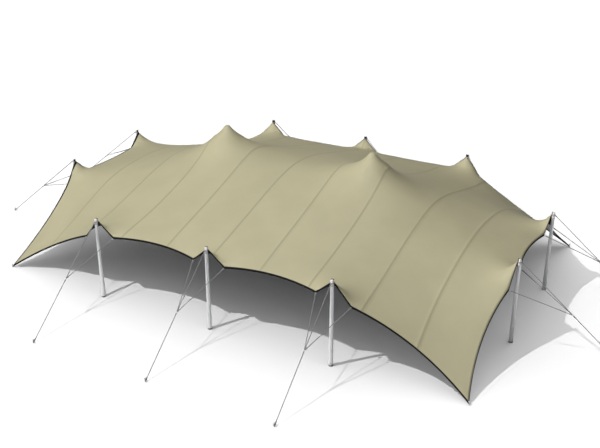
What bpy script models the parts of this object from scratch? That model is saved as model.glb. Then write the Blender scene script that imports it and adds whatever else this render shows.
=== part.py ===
"""Stretch tent, 10 x 15 m: a tensioned canopy on ten side poles and two king poles, with bridle guys.

Metres, +Z up. The origin is the middle of the tent on the ground, X runs along its length,
and -Y is the front. The canopy is form-found: its grid relaxes between the points that hold it.
"""
import math

import bmesh
import bpy
import numpy as np
from mathutils import Vector

# Layout of the tent
GAP = 0.0003                  # left between neighbouring pieces
HALF_LENGTH = 7.5             # middle of the tent to the end poles
HALF_WIDTH = 5.0              # middle of the tent to the front and back poles
SIDE_POLE_X = 3.75            # outer front and back poles, a quarter of the length from the corner
END_POLE_Y = 5.0 / 3          # end poles stand at the thirds of the width
KING_X = 2.5                  # king poles from the middle
PANEL_WIDTH = 1.5             # cloth width between two seams
PANEL_COUNT = 10
CUT_WIDTHS = (2, 3, 8, 9)     # cloth widths between a king pole and its end, each in three lengths

# Poles
POLE_HEIGHT = 2.52
POLE_RADIUS = 0.046           # side poles taper from this under the cap
POLE_BASE_RADIUS = 0.060      # to this above the foot
POLE_CAP_RADIUS = 0.047
POLE_CAP_HEIGHT = 0.16
POLE_FOOT_RADIUS = 0.063
POLE_FOOT_HEIGHT = 0.05
KING_HEIGHT = 4.0             # top of the canopy over a king pole
KING_RADIUS = 0.05
KING_HEAD_RADIUS = 0.045
KING_HEAD_HEIGHT = 0.05
TURNED_STEPS = 16

# Canopy
CLOTH_THICKNESS = 0.010
TIP_HEIGHT = 2.47             # where the cloth reaches a side pole
SHOULDER_REACH = 0.5          # along the edge, from a pole to the rope eye beside it
SHOULDER_INSET = 0.08
SHOULDER_HEIGHT = 2.01
OUTER_SHOULDER_HEIGHT = 1.85  # beside the bays that run down to the ground
CORNER_X = 7.45
CORNER_Y = 4.90
CORNER_HEIGHT = 0.06
KING_FLAT = 0.05              # half of the flat spot on a king pole's head
KING_REACH = 0.5              # the cloth round a king pole keeps to its own fall this far
TIP_REACH = 0.3               # and round the tip of a side pole this far
CLOTH_FALL = 0.46
CLOTH_ROUND = 0.3
SIDE_EDGE_PULL = 4.2          # tension of an edge against that of a metre of cloth
END_EDGE_PULL = 6.3
LENGTHWISE_PULL = 1.45        # the cloth is tighter along the tent than across it
LIFT = 0.042                  # push of the cloth's own stiffness, which keeps it off a dead saddle
GRID_STEP = 0.45
SWEEPS = 3000
OVER_RELAXATION = 1.9

# Hem and the black patches under the pole tips
HEM_WIDTH = 0.035
HEM_DEPTH = 0.045
PATCH_THICKNESS = 0.004
PATCH_INWARD = 0.30           # a patch runs from shoulder to shoulder, and this far in

# Guys and pegs
RING_SHARE = 0.49             # place of the bridle ring between pole top and peg
ROPE_RADIUS = 0.010
RING_RADIUS = 0.026
SIDE_PEG_Y = 7.89
END_PEG_X = 10.54
PEG_ROPE_HEIGHT = 0.05
PEG_RADIUS = 0.014
PEG_HEAD_RADIUS = 0.028
PEG_NECK_HEIGHT = 0.09
PEG_HEIGHT = 0.12
POLE_ROPE_HEIGHT = 2.44

SAND = (0.48, 0.44, 0.30)
BLACK = (0.02, 0.02, 0.02)
SILVER = (0.62, 0.63, 0.65)
ROPE_GREY = (0.55, 0.55, 0.53)
STEEL = (0.35, 0.35, 0.36)

SIDES = (("front", -1), ("back", 1))
ENDS = (("left", -1), ("right", 1))

# Kinds of cell in a hem's grid
UNUSED = 0
BAND = 1
PATCH = 2


def clear_scene():
    for item in list(bpy.data.objects):
        bpy.data.objects.remove(item, do_unlink=True)
    for group in list(bpy.data.collections):
        bpy.data.collections.remove(group)


def new_collection(name):
    group = bpy.data.collections.new(name)
    bpy.context.scene.collection.children.link(group)
    return group


def finish_material(name, colour, roughness, metallic):
    material = bpy.data.materials.new(name)
    material.use_nodes = True
    shader = material.node_tree.nodes["Principled BSDF"]
    shader.inputs["Base Color"].default_value = (*colour, 1.0)
    shader.inputs["Roughness"].default_value = roughness
    shader.inputs["Metallic"].default_value = metallic
    return material


def add_object(name, bm, group, material=None):
    """Turn a bmesh into a named, smooth-shaded object."""
    mesh = bpy.data.meshes.new(name)
    bm.to_mesh(mesh)
    bm.free()
    mesh.shade_smooth()
    mesh.set_sharp_from_angle(angle=math.radians(35))
    item = bpy.data.objects.new(name, mesh)
    group.objects.link(item)
    if material:
        mesh.materials.append(material)
    return item


# Canopy surface

def grid_lines(marks):
    """Even lines no wider than about GRID_STEP through every mark of a half, mirrored about zero."""
    half = [marks[0]]
    for start, end in zip(marks, marks[1:]):
        count = max(1, round((end - start) / GRID_STEP))
        half += [start + (end - start) * k / count for k in range(1, count + 1)]
    return np.array([-value for value in half[:0:-1]] + half)


def length_lines():
    marks = {0.0, SHOULDER_REACH / 2, SHOULDER_REACH, HALF_LENGTH - PATCH_INWARD, HALF_LENGTH}
    marks.update(PANEL_WIDTH * k for k in range(1, PANEL_COUNT // 2))
    marks.update(KING_X + side * shift for side in (-1, 1) for shift in king_marks())
    marks.update(SIDE_POLE_X + shift for shift in pole_marks())
    return grid_lines(sorted(marks))


def width_lines():
    marks = {HALF_WIDTH - PATCH_INWARD, HALF_WIDTH}
    marks.update(king_marks())
    marks.update(END_POLE_Y + shift for shift in pole_marks())
    return grid_lines(sorted(marks))


def pole_marks():
    """Lines wanted at a pole and to either side of it, from the pole."""
    return [SHOULDER_REACH * share for share in (-1, -0.5, 0, 0.5, 1)]


def king_marks():
    """Lines wanted at a king pole, from the pole to the far side of its own cone of cloth."""
    return 0.0, KING_FLAT, 0.4 * KING_REACH, KING_REACH


def nearest(lines, value):
    return int(np.argmin(np.abs(lines - value)))


def shoulder_height(along, outer_pole):
    """A shoulder beyond the outer pole of its edge faces a bay that runs down to the ground."""
    return OUTER_SHOULDER_HEIGHT if abs(along) > outer_pole else SHOULDER_HEIGHT


def cloth_fall(distance):
    """How far the cloth has dropped at this distance from the pole that lifts it."""
    return CLOTH_FALL * math.log(1 + distance / CLOTH_ROUND)


def held_round(held, xs, ys, centre, reach, place):
    """Hold every grid point within reach of a pole at the place that its distance gives."""
    for i, x in enumerate(xs):
        for j, y in enumerate(ys):
            distance = math.hypot(x - centre[0], y - centre[1])
            on_rim = abs(x) == HALF_LENGTH or abs(y) == HALF_WIDTH
            if distance < 1e-6 or (distance < reach + 1e-6 and not on_rim):
                held[i, j] = place(x, y, distance)


def hold_king_cone(held, xs, ys, end):
    def place(x, y, distance):
        return x, y, KING_HEIGHT - cloth_fall(max(0.0, distance - 1.5 * KING_FLAT))

    held_round(held, xs, ys, (end * KING_X, 0.0), KING_REACH, place)


def hold_edge_pole(held, xs, ys, foot, outward, along):
    """Hold the cloth at a side pole: its tip, the fall behind it, and the rope eyes on its shoulders."""
    tip = outward * (POLE_CAP_RADIUS + GAP)

    def place(x, y, distance):
        return x - tip.x, y - tip.y, TIP_HEIGHT - cloth_fall(distance)

    held_round(held, xs, ys, foot, TIP_REACH, place)
    for reach in (-SHOULDER_REACH, SHOULDER_REACH):
        spot = foot + along * reach
        height = shoulder_height(spot.dot(along), END_POLE_Y if outward.x else SIDE_POLE_X)
        eye = spot - outward * SHOULDER_INSET
        held[nearest(xs, spot.x), nearest(ys, spot.y)] = (eye.x, eye.y, height)


def held_points(xs, ys):
    """Every grid point that holds the canopy, with its place."""
    held = {}
    for _, foot, outward, along in stations():
        hold_edge_pole(held, xs, ys, foot, outward, along)
    for _, end in ENDS:
        hold_king_cone(held, xs, ys, end)
        for _, side in SIDES:
            corner = (-1 if end > 0 else 0, -1 if side > 0 else 0)
            held[corner] = (end * CORNER_X, side * CORNER_Y, CORNER_HEIGHT)
    return held


def line_share(lines):
    """Width of cloth that each grid line stands for."""
    steps = np.diff(lines)
    share = np.zeros(len(lines))
    share[:-1] += steps / 2
    share[1:] += steps / 2
    return share


def relax_canopy(xs, ys):
    """Points of the canopy at rest: each free point sits where the pulls of its neighbours balance."""
    points = np.zeros((len(xs), len(ys), 3))
    points[..., 0] = xs[:, None]
    points[..., 1] = ys[None, :]
    points[..., 2] = SHOULDER_HEIGHT
    pull_x = LENGTHWISE_PULL * line_share(ys)[None, :] / np.diff(xs)[:, None]
    pull_y = line_share(xs)[:, None] / np.diff(ys)[None, :]
    for edge in (0, -1):
        pull_x[:, edge] += SIDE_EDGE_PULL / np.diff(xs)
        pull_y[edge, :] += END_EDGE_PULL / np.diff(ys)
    lift = np.zeros_like(points)
    lift[..., 2] = LIFT * np.outer(line_share(xs), line_share(ys))
    free = np.ones(points.shape[:2], bool)
    for spot, place in held_points(xs, ys).items():
        points[spot] = place
        free[spot] = False
    total = np.zeros(points.shape[:2])
    total[:-1] += pull_x
    total[1:] += pull_x
    total[:, :-1] += pull_y
    total[:, 1:] += pull_y
    even = np.add.outer(np.arange(len(xs)), np.arange(len(ys))) % 2 == 0
    pull_x = pull_x[..., None]
    pull_y = pull_y[..., None]
    for sweep in range(SWEEPS):
        turn = free & (even if sweep % 2 else ~even)
        drawn = lift.copy()
        drawn[:-1] += pull_x * points[1:]
        drawn[1:] += pull_x * points[:-1]
        drawn[:, :-1] += pull_y * points[:, 1:]
        drawn[:, 1:] += pull_y * points[:, :-1]
        points[turn] += OVER_RELAXATION * (drawn[turn] / total[turn][:, None] - points[turn])
    return points


def add_hem_lines(points):
    """Add one line of points HEM_WIDTH inside each edge, first in one direction and then in the other."""
    for _ in range(2):
        rim, inner = points[:, [0, -1]], points[:, [1, -2]]
        span = np.linalg.norm(inner - rim, axis=2, keepdims=True)
        line = rim + (inner - rim) * HEM_WIDTH / span
        first, middle, last = points[:, :1], points[:, 1:-1], points[:, -1:]
        points = np.concatenate([first, line[:, :1], middle, line[:, 1:], last], axis=1)
        points = points.transpose(1, 0, 2)
    return points


def cloth_grid(points, kind_of_cell, below):
    """The used cells of a grid of points, lying below them by that much, each marked with its kind."""
    columns, rows = points.shape[:2]
    bm = bmesh.new()
    bmesh.ops.create_grid(bm, x_segments=columns - 1, y_segments=rows - 1, size=1.0)
    spots = {}
    for vert in bm.verts:
        spots[vert] = round((vert.co.x + 1) / 2 * (columns - 1)), round((vert.co.y + 1) / 2 * (rows - 1))
    spare = []
    for face in bm.faces:
        cell = min(spots[vert] for vert in face.verts)
        face.material_index = kind_of_cell(*cell)
        if face.material_index == UNUSED:
            spare.append(face)
    for vert, spot in spots.items():
        vert.co = Vector(points[spot]) - Vector((0, 0, below))
    bmesh.ops.delete(bm, geom=spare, context="FACES")
    bmesh.ops.triangulate(bm, faces=bm.faces[:], quad_method="FIXED")
    return bm


def extrude_down(bm, faces, depth, keep):
    """Extrude a region straight down and return its new underside."""
    made = bmesh.ops.extrude_face_region(bm, geom=faces, use_keep_orig=True)["geom"]
    moved = [item for item in made if isinstance(item, bmesh.types.BMVert)]
    bmesh.ops.translate(bm, verts=moved, vec=(0, 0, -depth))
    if not keep:
        bmesh.ops.delete(bm, geom=faces, context="FACES")
    return [item for item in made if isinstance(item, bmesh.types.BMFace)]


def close_slab(bm):
    for face in bm.faces:
        face.material_index = 0
    bmesh.ops.recalc_face_normals(bm, faces=bm.faces[:])


def rim_lines(xs, ys):
    """The grid lines with the two hem lines that add_hem_lines puts in each direction."""
    return [np.insert(lines, (1, -1), (lines[0] + HEM_WIDTH, lines[-1] - HEM_WIDTH)) for lines in (xs, ys)]


def split_at_seams(points, xs):
    """The grid of each cloth width, drawn back by half a gap at its seams."""
    seams = [nearest(xs, PANEL_WIDTH * (k - PANEL_COUNT / 2)) for k in range(PANEL_COUNT + 1)]
    seams = [seam + 1 for seam in seams]
    seams[0] = 0
    seams[-1] = len(points) - 1
    for k, (start, end) in enumerate(zip(seams, seams[1:])):
        panel = points[start:end + 1].copy()
        if k > 0:
            panel[0, :, 0] += GAP / 2
        if k < PANEL_COUNT - 1:
            panel[-1, :, 0] -= GAP / 2
        yield k, panel


def split_across(panel, ys):
    """The front, middle and back lengths of a cloth width, drawn back by half a gap at their joins."""
    joins = [nearest(ys, side * END_POLE_Y) + 1 for _, side in SIDES]
    last = panel.shape[1] - 1
    for place, start, end in zip(("front", "middle", "back"), (0, *joins), (*joins, last)):
        length = panel[:, start:end + 1].copy()
        if start > 0:
            length[:, 0, 1] += GAP / 2
        if end < last:
            length[:, -1, 1] -= GAP / 2
        yield place, length


def make_slab(name, points, group, material):
    bm = cloth_grid(points, lambda i, j: BAND, 0.0)
    extrude_down(bm, bm.faces[:], CLOTH_THICKNESS, keep=True)
    close_slab(bm)
    add_object(name, bm, group, material)


def make_panels(points, xs, ys, group, material):
    for k, panel in split_at_seams(points, xs):
        name = f"canopy_panel_{k + 1:02d}"
        if k + 1 in CUT_WIDTHS:
            for place, length in split_across(panel, ys):
                make_slab(f"{name}_{place}", length, group, material)
        else:
            make_slab(name, panel, group, material)


def patch_cell(lines, k, poles):
    """Whether cell k of an edge lies beside a pole tip, where a patch spreads under the cloth."""
    middle = (lines[k] + lines[k + 1]) / 2
    return any(abs(middle - pole) < SHOULDER_REACH for pole in poles)


def make_hem(name, points, kind_of_cell, group, material):
    """A black edge band under the cloth's rim, in one piece with the patches under the pole tips."""
    bm = cloth_grid(points, kind_of_cell, CLOTH_THICKNESS + GAP)
    underside = extrude_down(bm, bm.faces[:], PATCH_THICKNESS, keep=True)
    band = [face for face in underside if face.material_index == BAND]
    extrude_down(bm, band, HEM_DEPTH - PATCH_THICKNESS, keep=False)
    close_slab(bm)
    add_object(name, bm, group, material)


def make_hems(points, xs, ys, group, material):
    """Front and back hems run corner to corner, and the end hems fit between them."""
    for name, side in SIDES:
        rim = 0 if side < 0 else 1
        rows = points[:, :3] if side < 0 else points[:, -3:]

        def along_length(i, j):
            if j == rim:
                return BAND
            return PATCH if patch_cell(xs, i, (-SIDE_POLE_X, 0.0, SIDE_POLE_X)) else UNUSED

        make_hem(f"hem_{name}", rows, along_length, group, material)
    for name, end in ENDS:
        rim = 0 if end < 0 else 1
        columns = (points[:3, 1:-1] if end < 0 else points[-3:, 1:-1]).copy()
        columns[:, 0, 1] += GAP
        columns[:, -1, 1] -= GAP

        def along_width(i, j):
            if i == rim:
                return BAND
            return PATCH if patch_cell(ys[1:-1], j, (-END_POLE_Y, END_POLE_Y)) else UNUSED

        make_hem(f"hem_{name}", columns, along_width, group, material)


# Poles and pegs

def turned_mesh(name, profile, material):
    """A mesh turned about Z from (radius, height) points given from top to bottom."""
    bm = bmesh.new()
    verts = [bm.verts.new((radius, 0.0, height)) for radius, height in profile]
    for upper, lower in zip(verts, verts[1:]):
        bm.edges.new((upper, lower))
    mesh = bpy.data.meshes.new(name)
    bm.to_mesh(mesh)
    bm.free()
    mesh.materials.append(material)
    return mesh


def add_turned(name, mesh, place, group):
    item = bpy.data.objects.new(name, mesh)
    item.location = place
    group.objects.link(item)
    screw = item.modifiers.new("turn", "SCREW")
    screw.steps = TURNED_STEPS
    screw.render_steps = TURNED_STEPS
    screw.use_merge_vertices = True
    screw.merge_threshold = 0.0001
    screw.use_smooth_shade = False
    return item


def side_pole_profile():
    cap_foot = POLE_HEIGHT - POLE_CAP_HEIGHT
    rounding = 0.6 * POLE_CAP_RADIUS
    return [
        (0.0, POLE_HEIGHT),
        (0.5 * POLE_CAP_RADIUS, POLE_HEIGHT - 0.1 * rounding),
        (0.85 * POLE_CAP_RADIUS, POLE_HEIGHT - 0.45 * rounding),
        (POLE_CAP_RADIUS, POLE_HEIGHT - rounding),
        (POLE_CAP_RADIUS, cap_foot),
        (POLE_RADIUS, cap_foot),
        (POLE_BASE_RADIUS, POLE_FOOT_HEIGHT),
        (POLE_FOOT_RADIUS, 0.8 * POLE_FOOT_HEIGHT),
        (POLE_FOOT_RADIUS, 0.0),
        (0.0, 0.0),
    ]


def king_pole_profile():
    top = KING_HEIGHT - CLOTH_THICKNESS - GAP
    return [
        (0.0, top),
        (0.8 * KING_HEAD_RADIUS, top),
        (KING_HEAD_RADIUS, top - 0.015),
        (KING_HEAD_RADIUS, top - KING_HEAD_HEIGHT),
        (KING_RADIUS, top - KING_HEAD_HEIGHT),
        (KING_RADIUS, POLE_FOOT_HEIGHT),
        (POLE_FOOT_RADIUS, 0.8 * POLE_FOOT_HEIGHT),
        (POLE_FOOT_RADIUS, 0.0),
        (0.0, 0.0),
    ]


def peg_profile():
    return [
        (0.0, PEG_HEIGHT),
        (0.6 * PEG_HEAD_RADIUS, PEG_HEIGHT - 0.004),
        (PEG_HEAD_RADIUS, PEG_HEIGHT - 0.014),
        (PEG_HEAD_RADIUS, PEG_NECK_HEIGHT + 0.004),
        (PEG_RADIUS, PEG_NECK_HEIGHT),
        (PEG_RADIUS, 0.0),
        (0.0, 0.0),
    ]


def stations():
    """Every side pole: its name, foot, and the two directions outward and along the edge."""
    for name, side in SIDES:
        for place, x in (("left", -SIDE_POLE_X), ("middle", 0.0), ("right", SIDE_POLE_X)):
            foot = Vector((x, side * HALF_WIDTH, 0))
            yield f"{name}_{place}", foot, Vector((0, side, 0)), Vector((1, 0, 0))
    for name, end in ENDS:
        for place, y in (("front", -END_POLE_Y), ("back", END_POLE_Y)):
            foot = Vector((end * HALF_LENGTH, y, 0))
            yield f"{name}_{place}", foot, Vector((end, 0, 0)), Vector((0, 1, 0))


def peg_foot(foot, outward):
    """Where the guy of the pole at foot meets the ground."""
    if outward.x:
        return Vector((outward.x * END_PEG_X, foot.y, 0))
    return Vector((foot.x, outward.y * SIDE_PEG_Y, 0))


def corner_peg_foot(end, side):
    """A corner peg stands just outside the cloth's corner, on its diagonal."""
    outward = Vector((end, side, 0)).normalized()
    return Vector((end * CORNER_X, side * CORNER_Y, 0)) + outward * (PEG_RADIUS + GAP)


def make_poles(group, material):
    side_mesh = turned_mesh("side_pole", side_pole_profile(), material)
    king_mesh = turned_mesh("king_pole", king_pole_profile(), material)
    for name, foot, _, _ in stations():
        add_turned(f"pole_{name}", side_mesh, foot, group)
    for name, end in ENDS:
        add_turned(f"king_pole_{name}", king_mesh, (end * KING_X, 0, 0), group)


def make_pegs(group, material):
    mesh = turned_mesh("peg", peg_profile(), material)
    for name, foot, outward, _ in stations():
        add_turned(f"peg_{name}", mesh, peg_foot(foot, outward), group)
    for side_name, side in SIDES:
        for end_name, end in ENDS:
            add_turned(f"corner_peg_{side_name}_{end_name}", mesh, corner_peg_foot(end, side), group)


# Guys

def seat(point, outward, towards):
    """The end of a rope that comes from towards and stops a gap short of a face at point."""
    direction = (towards - point).normalized()
    lean = direction.dot(outward)
    return point + direction * ((ROPE_RADIUS * math.sqrt(1 - lean * lean) + GAP) / lean)


def strand(name, start, end, group):
    """A straight rope as a closed cylinder between two points."""
    along = end - start
    turn = along.to_track_quat("Z", "Y").to_matrix().to_4x4()
    turn.translation = (start + end) / 2
    bm = bmesh.new()
    bmesh.ops.create_cone(bm, cap_ends=True, segments=8, radius1=ROPE_RADIUS, radius2=ROPE_RADIUS,
                          depth=along.length, matrix=turn)
    item = add_object(name, bm, group)
    item.hide_render = True
    item.display_type = "WIRE"


def shoulder_point(foot, outward, along, reach):
    """The rope eye at mid-height of the hem beside a pole."""
    edge = foot.dot(along) + reach
    height = shoulder_height(edge, END_POLE_Y if outward.x else SIDE_POLE_X)
    middle = CLOTH_THICKNESS + GAP + HEM_DEPTH / 2
    return foot + along * reach - outward * SHOULDER_INSET + Vector((0, 0, height - middle))


def make_guy(name, foot, outward, along, group, cutters, material):
    """Three legs from the pole top and both shoulders, a ring, and one rope down to a peg."""
    pole_eye = foot + outward * POLE_CAP_RADIUS + Vector((0, 0, POLE_ROPE_HEIGHT))
    peg_eye = peg_foot(foot, outward) - outward * PEG_RADIUS + Vector((0, 0, PEG_ROPE_HEIGHT))
    ring = pole_eye.lerp(peg_eye, RING_SHARE)
    left_eye = shoulder_point(foot, outward, along, -SHOULDER_REACH)
    right_eye = shoulder_point(foot, outward, along, SHOULDER_REACH)
    strands = bpy.data.collections.new(f"strands_{name}")
    cutters.children.link(strands)
    strand(f"leg_pole_{name}", ring, seat(pole_eye, outward, ring), strands)
    strand(f"leg_left_{name}", ring, seat(left_eye, outward, ring), strands)
    strand(f"leg_right_{name}", ring, seat(right_eye, outward, ring), strands)
    strand(f"line_{name}", ring, seat(peg_eye, -outward, ring), strands)
    bm = bmesh.new()
    bmesh.ops.create_uvsphere(bm, u_segments=12, v_segments=8, radius=RING_RADIUS)
    bmesh.ops.translate(bm, verts=bm.verts[:], vec=ring)
    guy = add_object(f"guy_{name}", bm, group, material)
    join = guy.modifiers.new("join", "BOOLEAN")
    join.operation = "UNION"
    join.solver = "EXACT"
    join.operand_type = "COLLECTION"
    join.collection = strands


def main():
    clear_scene()
    group = new_collection("stretch_tent")
    cutters = new_collection("cutters")
    sand = finish_material("sand_cloth", SAND, 0.75, 0.0)
    black = finish_material("black_webbing", BLACK, 0.7, 0.0)
    silver = finish_material("silver_tube", SILVER, 0.35, 1.0)
    rope = finish_material("grey_rope", ROPE_GREY, 0.8, 0.0)
    steel = finish_material("peg_steel", STEEL, 0.45, 1.0)
    xs, ys = length_lines(), width_lines()
    points = add_hem_lines(relax_canopy(xs, ys))
    make_panels(points, xs, ys, group, sand)
    make_hems(points, *rim_lines(xs, ys), group, black)
    make_poles(group, silver)
    make_pegs(group, steel)
    for name, foot, outward, along in stations():
        make_guy(name, foot, outward, along, group, cutters, rope)


main()
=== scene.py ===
"""Looks of a 10 x 15 m stretch tent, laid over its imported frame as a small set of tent-making tools.

Metres, +Z up, front to -Y. Places come from the frame: the poles and pegs say where the cloth,
the ropes and the fittings go. The canopy is form-found on a finer grid than the frame's own.
"""
import functools
import math

import bmesh
import bpy
import numpy as np
from bpy.props import FloatProperty, FloatVectorProperty, PointerProperty
from mathutils import Matrix, Vector


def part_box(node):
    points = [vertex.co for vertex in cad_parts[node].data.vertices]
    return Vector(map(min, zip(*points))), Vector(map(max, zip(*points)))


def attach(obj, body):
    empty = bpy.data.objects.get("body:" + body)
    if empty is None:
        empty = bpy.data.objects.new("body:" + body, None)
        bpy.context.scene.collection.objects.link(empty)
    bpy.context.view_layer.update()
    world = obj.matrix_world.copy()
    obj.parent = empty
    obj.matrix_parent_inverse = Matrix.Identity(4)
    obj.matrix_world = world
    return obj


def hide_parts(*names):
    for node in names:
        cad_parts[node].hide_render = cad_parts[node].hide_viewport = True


bl_info = {
    "name": "Stretch Tent",
    "version": (1, 0, 0),
    "blender": (4, 5, 0),
    "location": "3D View > Sidebar > Tent",
    "description": "Makes the canopy, trim, poles, guys and pegs of a stretch tent",
    "category": "Add Mesh",
}

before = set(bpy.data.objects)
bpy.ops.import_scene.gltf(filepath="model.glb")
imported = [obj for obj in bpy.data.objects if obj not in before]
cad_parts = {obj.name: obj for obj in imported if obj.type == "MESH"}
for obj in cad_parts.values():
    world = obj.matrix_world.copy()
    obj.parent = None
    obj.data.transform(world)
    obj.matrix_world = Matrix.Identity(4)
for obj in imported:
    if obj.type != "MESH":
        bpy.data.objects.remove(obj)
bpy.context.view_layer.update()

# Directions, by the words that the frame's names hold
OUTWARD = {
    "front": Vector((0, -1, 0)),
    "back": Vector((0, 1, 0)),
    "left": Vector((-1, 0, 0)),
    "right": Vector((1, 0, 0)),
}
UP = Vector((0, 0, 1))
GAP = 0.0003


def middle(node):
    """Middle of a frame piece on the ground plan, and its height."""
    low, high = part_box(node)
    centre = (low + high) / 2
    return Vector((round(centre.x, 4), round(centre.y, 4), 0)), high.z


# Layout read from the frame
KING_PLACE, _ = middle("king_pole_right")
CORNER_POLE_PLACE, POLE_TOP = middle("pole_back_right")
END_POLE_PLACE, _ = middle("pole_right_back")
KING_X = KING_PLACE.x
SIDE_POLE_X = CORNER_POLE_PLACE.x
HALF_WIDTH = CORNER_POLE_PLACE.y
HALF_LENGTH = END_POLE_PLACE.x
END_POLE_Y = END_POLE_PLACE.y
CANOPY_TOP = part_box("canopy_panel_07")[1].z

# Form of the canopy
PANEL_WIDTH = 1.5
CAP_RADIUS = 0.047
TIP_HEIGHT = 2.47
SHOULDER_REACH = 0.5
SHOULDER_INSET = 0.08
SHOULDER_HEIGHT = 2.01
OUTER_SHOULDER_HEIGHT = 1.85
CORNER_X = 7.45
CORNER_Y = 4.90
CORNER_HEIGHT = 0.06
KING_FLAT = 0.05
CROWN_RADIUS = 1.5 * KING_FLAT   # where the cloth over a king pole begins to fall
KING_REACH = 0.5
TIP_REACH = 0.3
CLOTH_FALL = 0.46
CLOTH_ROUND = 0.3
GRID_STEP = 0.45
PASSES = ((3000, 1.9), (500, 1.95), (400, 1.97))   # sweeps and over-relaxation on each finer grid
SAME_PLACE = 0.001            # nearer than this, two places are one
LINE_ROUNDING = 0.0001

# Pulls in the canopy, measured against the cloth's own pull across the tent
SIDE_EDGE_PULL = 4.2
END_EDGE_PULL = 6.3
LENGTHWISE_PULL = 1.45
LIFT = 0.042

# Seams and tip patches
SEAM_RISE = 0.0015
SEAM_SLOPE = 0.005
PATCH_DEPTH = 0.30            # a line of the grid, as in the frame
PATCH_REACH = 0.62            # how far in the patch runs behind its pole
PATCH_SHOULDER_DEPTH = 0.20
PATCH_SPREAD = 0.97           # share of the way to each shoulder
PATCH_THICKNESS = 0.003
PATCH_SLACK = 0.004           # under the cloth, and beside the hem
PATCH_LINES = 49, 19          # along the edge, and inward

# Trim
HEM_WIDTH = 0.035
HEM_BOTTOM = 0.048            # below the top of the cloth
HEM_END_GAP = 0.002           # between the hem of an end and those of the sides
HEM_ROUNDING = 0.007
BINDING_WIDTHS = {"front": 0.014, "back": 0.014, "left": 0.060, "right": 0.006}   # folded over the cloth
BINDING_PROUD = 0.003         # above the cloth and outside its rim
BINDING_THICKNESS = 0.0025
CAP_ROOM = 0.05               # beside a pole's middle, where its cap leaves no room outside the rim
HOOD_ANGLE = math.radians(62)
HOOD_DROP = 0.035             # at its sides
HOOD_SKIRT = 0.004            # below the tip of the cloth
HOOD_TAPE = 0.05              # length of its weave, upward
HOOD_THICKNESS = 0.004
HOOD_LINES = 4, 17            # upward, and around the cap

# Poles
COLLAR_RISE = 0.004           # above the end of the cap
COLLAR_DROP = 0.014           # below it
KING_HEAD = 0.05              # length of a king pole's head
SLEEVE_HALF = 0.045           # half the length of the sleeve that joins a king pole's tubes

# Ropes and pegs
RING_SHARE = 0.49             # of the way from the pole top to the peg
RING_WIRE = 0.004
EYE_RADIUS = 0.022            # ring at a shoulder
EYE_DROP = 0.002              # below the middle of the hem
EYE_REACH = 0.030             # from the hem to the middle of that ring
EYE_HOLD = 0.018              # from its middle to the end of the leg
SPLICE_SWELL = 1.5
SPLICE_STARTS = 0.010, 0.012  # beyond the middle ring, and before the other end
SPLICE_END = 0.075
POLE_ROPE_HEIGHT = 2.44
PEG_ROPE_HEIGHT = 0.05
PEG_RADIUS = 0.014
PEG_HEAD_RADIUS = 0.028
PEG_HEAD_HEIGHT = 0.030
PEG_HEIGHT = 0.12

# Stage
FLOOR_HALF = 200.0
FLOOR_NEAR, FLOOR_FAR = 10.0, 45.0      # between them the floor's grey changes
LAMP_PLACE = (-6.4, -16.6, 27.1)
LAMP_RADIUS = 0.25
FLOOR_LIGHT_PLACE = (0, 0, 30)
FLOOR_LIGHT_SPREAD = math.radians(150)
CAMERA_PLACE = (12.598, -22.776, 13.294)
CAMERA_TURN = math.radians(28.757)      # to the left of straight back
CAMERA_DROP = math.radians(25.009)      # below level

CLOTH_METRES = "cloth_metres"
ROPE_METRES = "rope_metres"
MIX_SHARE, MIX_FIRST, MIX_SECOND, MIX_RESULT = 0, 6, 7, 2   # sockets of a Mix node set to colours


# Settings

class TentClothSettings(bpy.types.PropertyGroup):
    top_colour: FloatVectorProperty(
        name="Top colour", description="Sand coating on the weather side", subtype="COLOR",
        size=3, min=0, max=1, default=(0.401, 0.372, 0.242))
    under_colour: FloatVectorProperty(
        name="Underside colour", description="Pale coating on the inner side", subtype="COLOR",
        size=3, min=0, max=1, default=(0.42, 0.42, 0.43))
    trim_colour: FloatVectorProperty(
        name="Trim colour", description="Webbing of the hem, tape, hoods and tip patches", subtype="COLOR",
        size=3, min=0, max=1, default=(0.006, 0.006, 0.0055))
    thickness: FloatProperty(
        name="Thickness", description="Thickness of the coated cloth", unit="LENGTH", default=0.003)
    seam_width: FloatProperty(
        name="Seam width", description="Overlap where two cloth widths are joined", unit="LENGTH",
        default=0.050)


class TentPoleSettings(bpy.types.PropertyGroup):
    side_radius: FloatProperty(
        name="Side pole top radius", description="Radius of a side pole under its cap", unit="LENGTH",
        default=0.046)
    base_radius: FloatProperty(
        name="Side pole base radius", description="Radius of a side pole above its foot", unit="LENGTH",
        default=0.060)
    king_radius: FloatProperty(
        name="King pole radius", description="Radius of a king pole's tube", unit="LENGTH", default=0.050)
    tube_colour: FloatVectorProperty(
        name="Tube colour", description="Satin anodised aluminium", subtype="COLOR",
        size=3, min=0, max=1, default=(0.70, 0.70, 0.71))
    cap_colour: FloatVectorProperty(
        name="Cap colour", description="Moulded cap on a side pole", subtype="COLOR",
        size=3, min=0, max=1, default=(0.66, 0.64, 0.62))
    cap_height: FloatProperty(
        name="Cap height", description="Length of tube that the cap covers", unit="LENGTH", default=0.16)
    foot_radius: FloatProperty(
        name="Foot radius", description="Radius of the rubber foot", unit="LENGTH", default=0.063)
    foot_height: FloatProperty(
        name="Foot height", description="Height of the rubber foot", unit="LENGTH", default=0.05)


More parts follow.
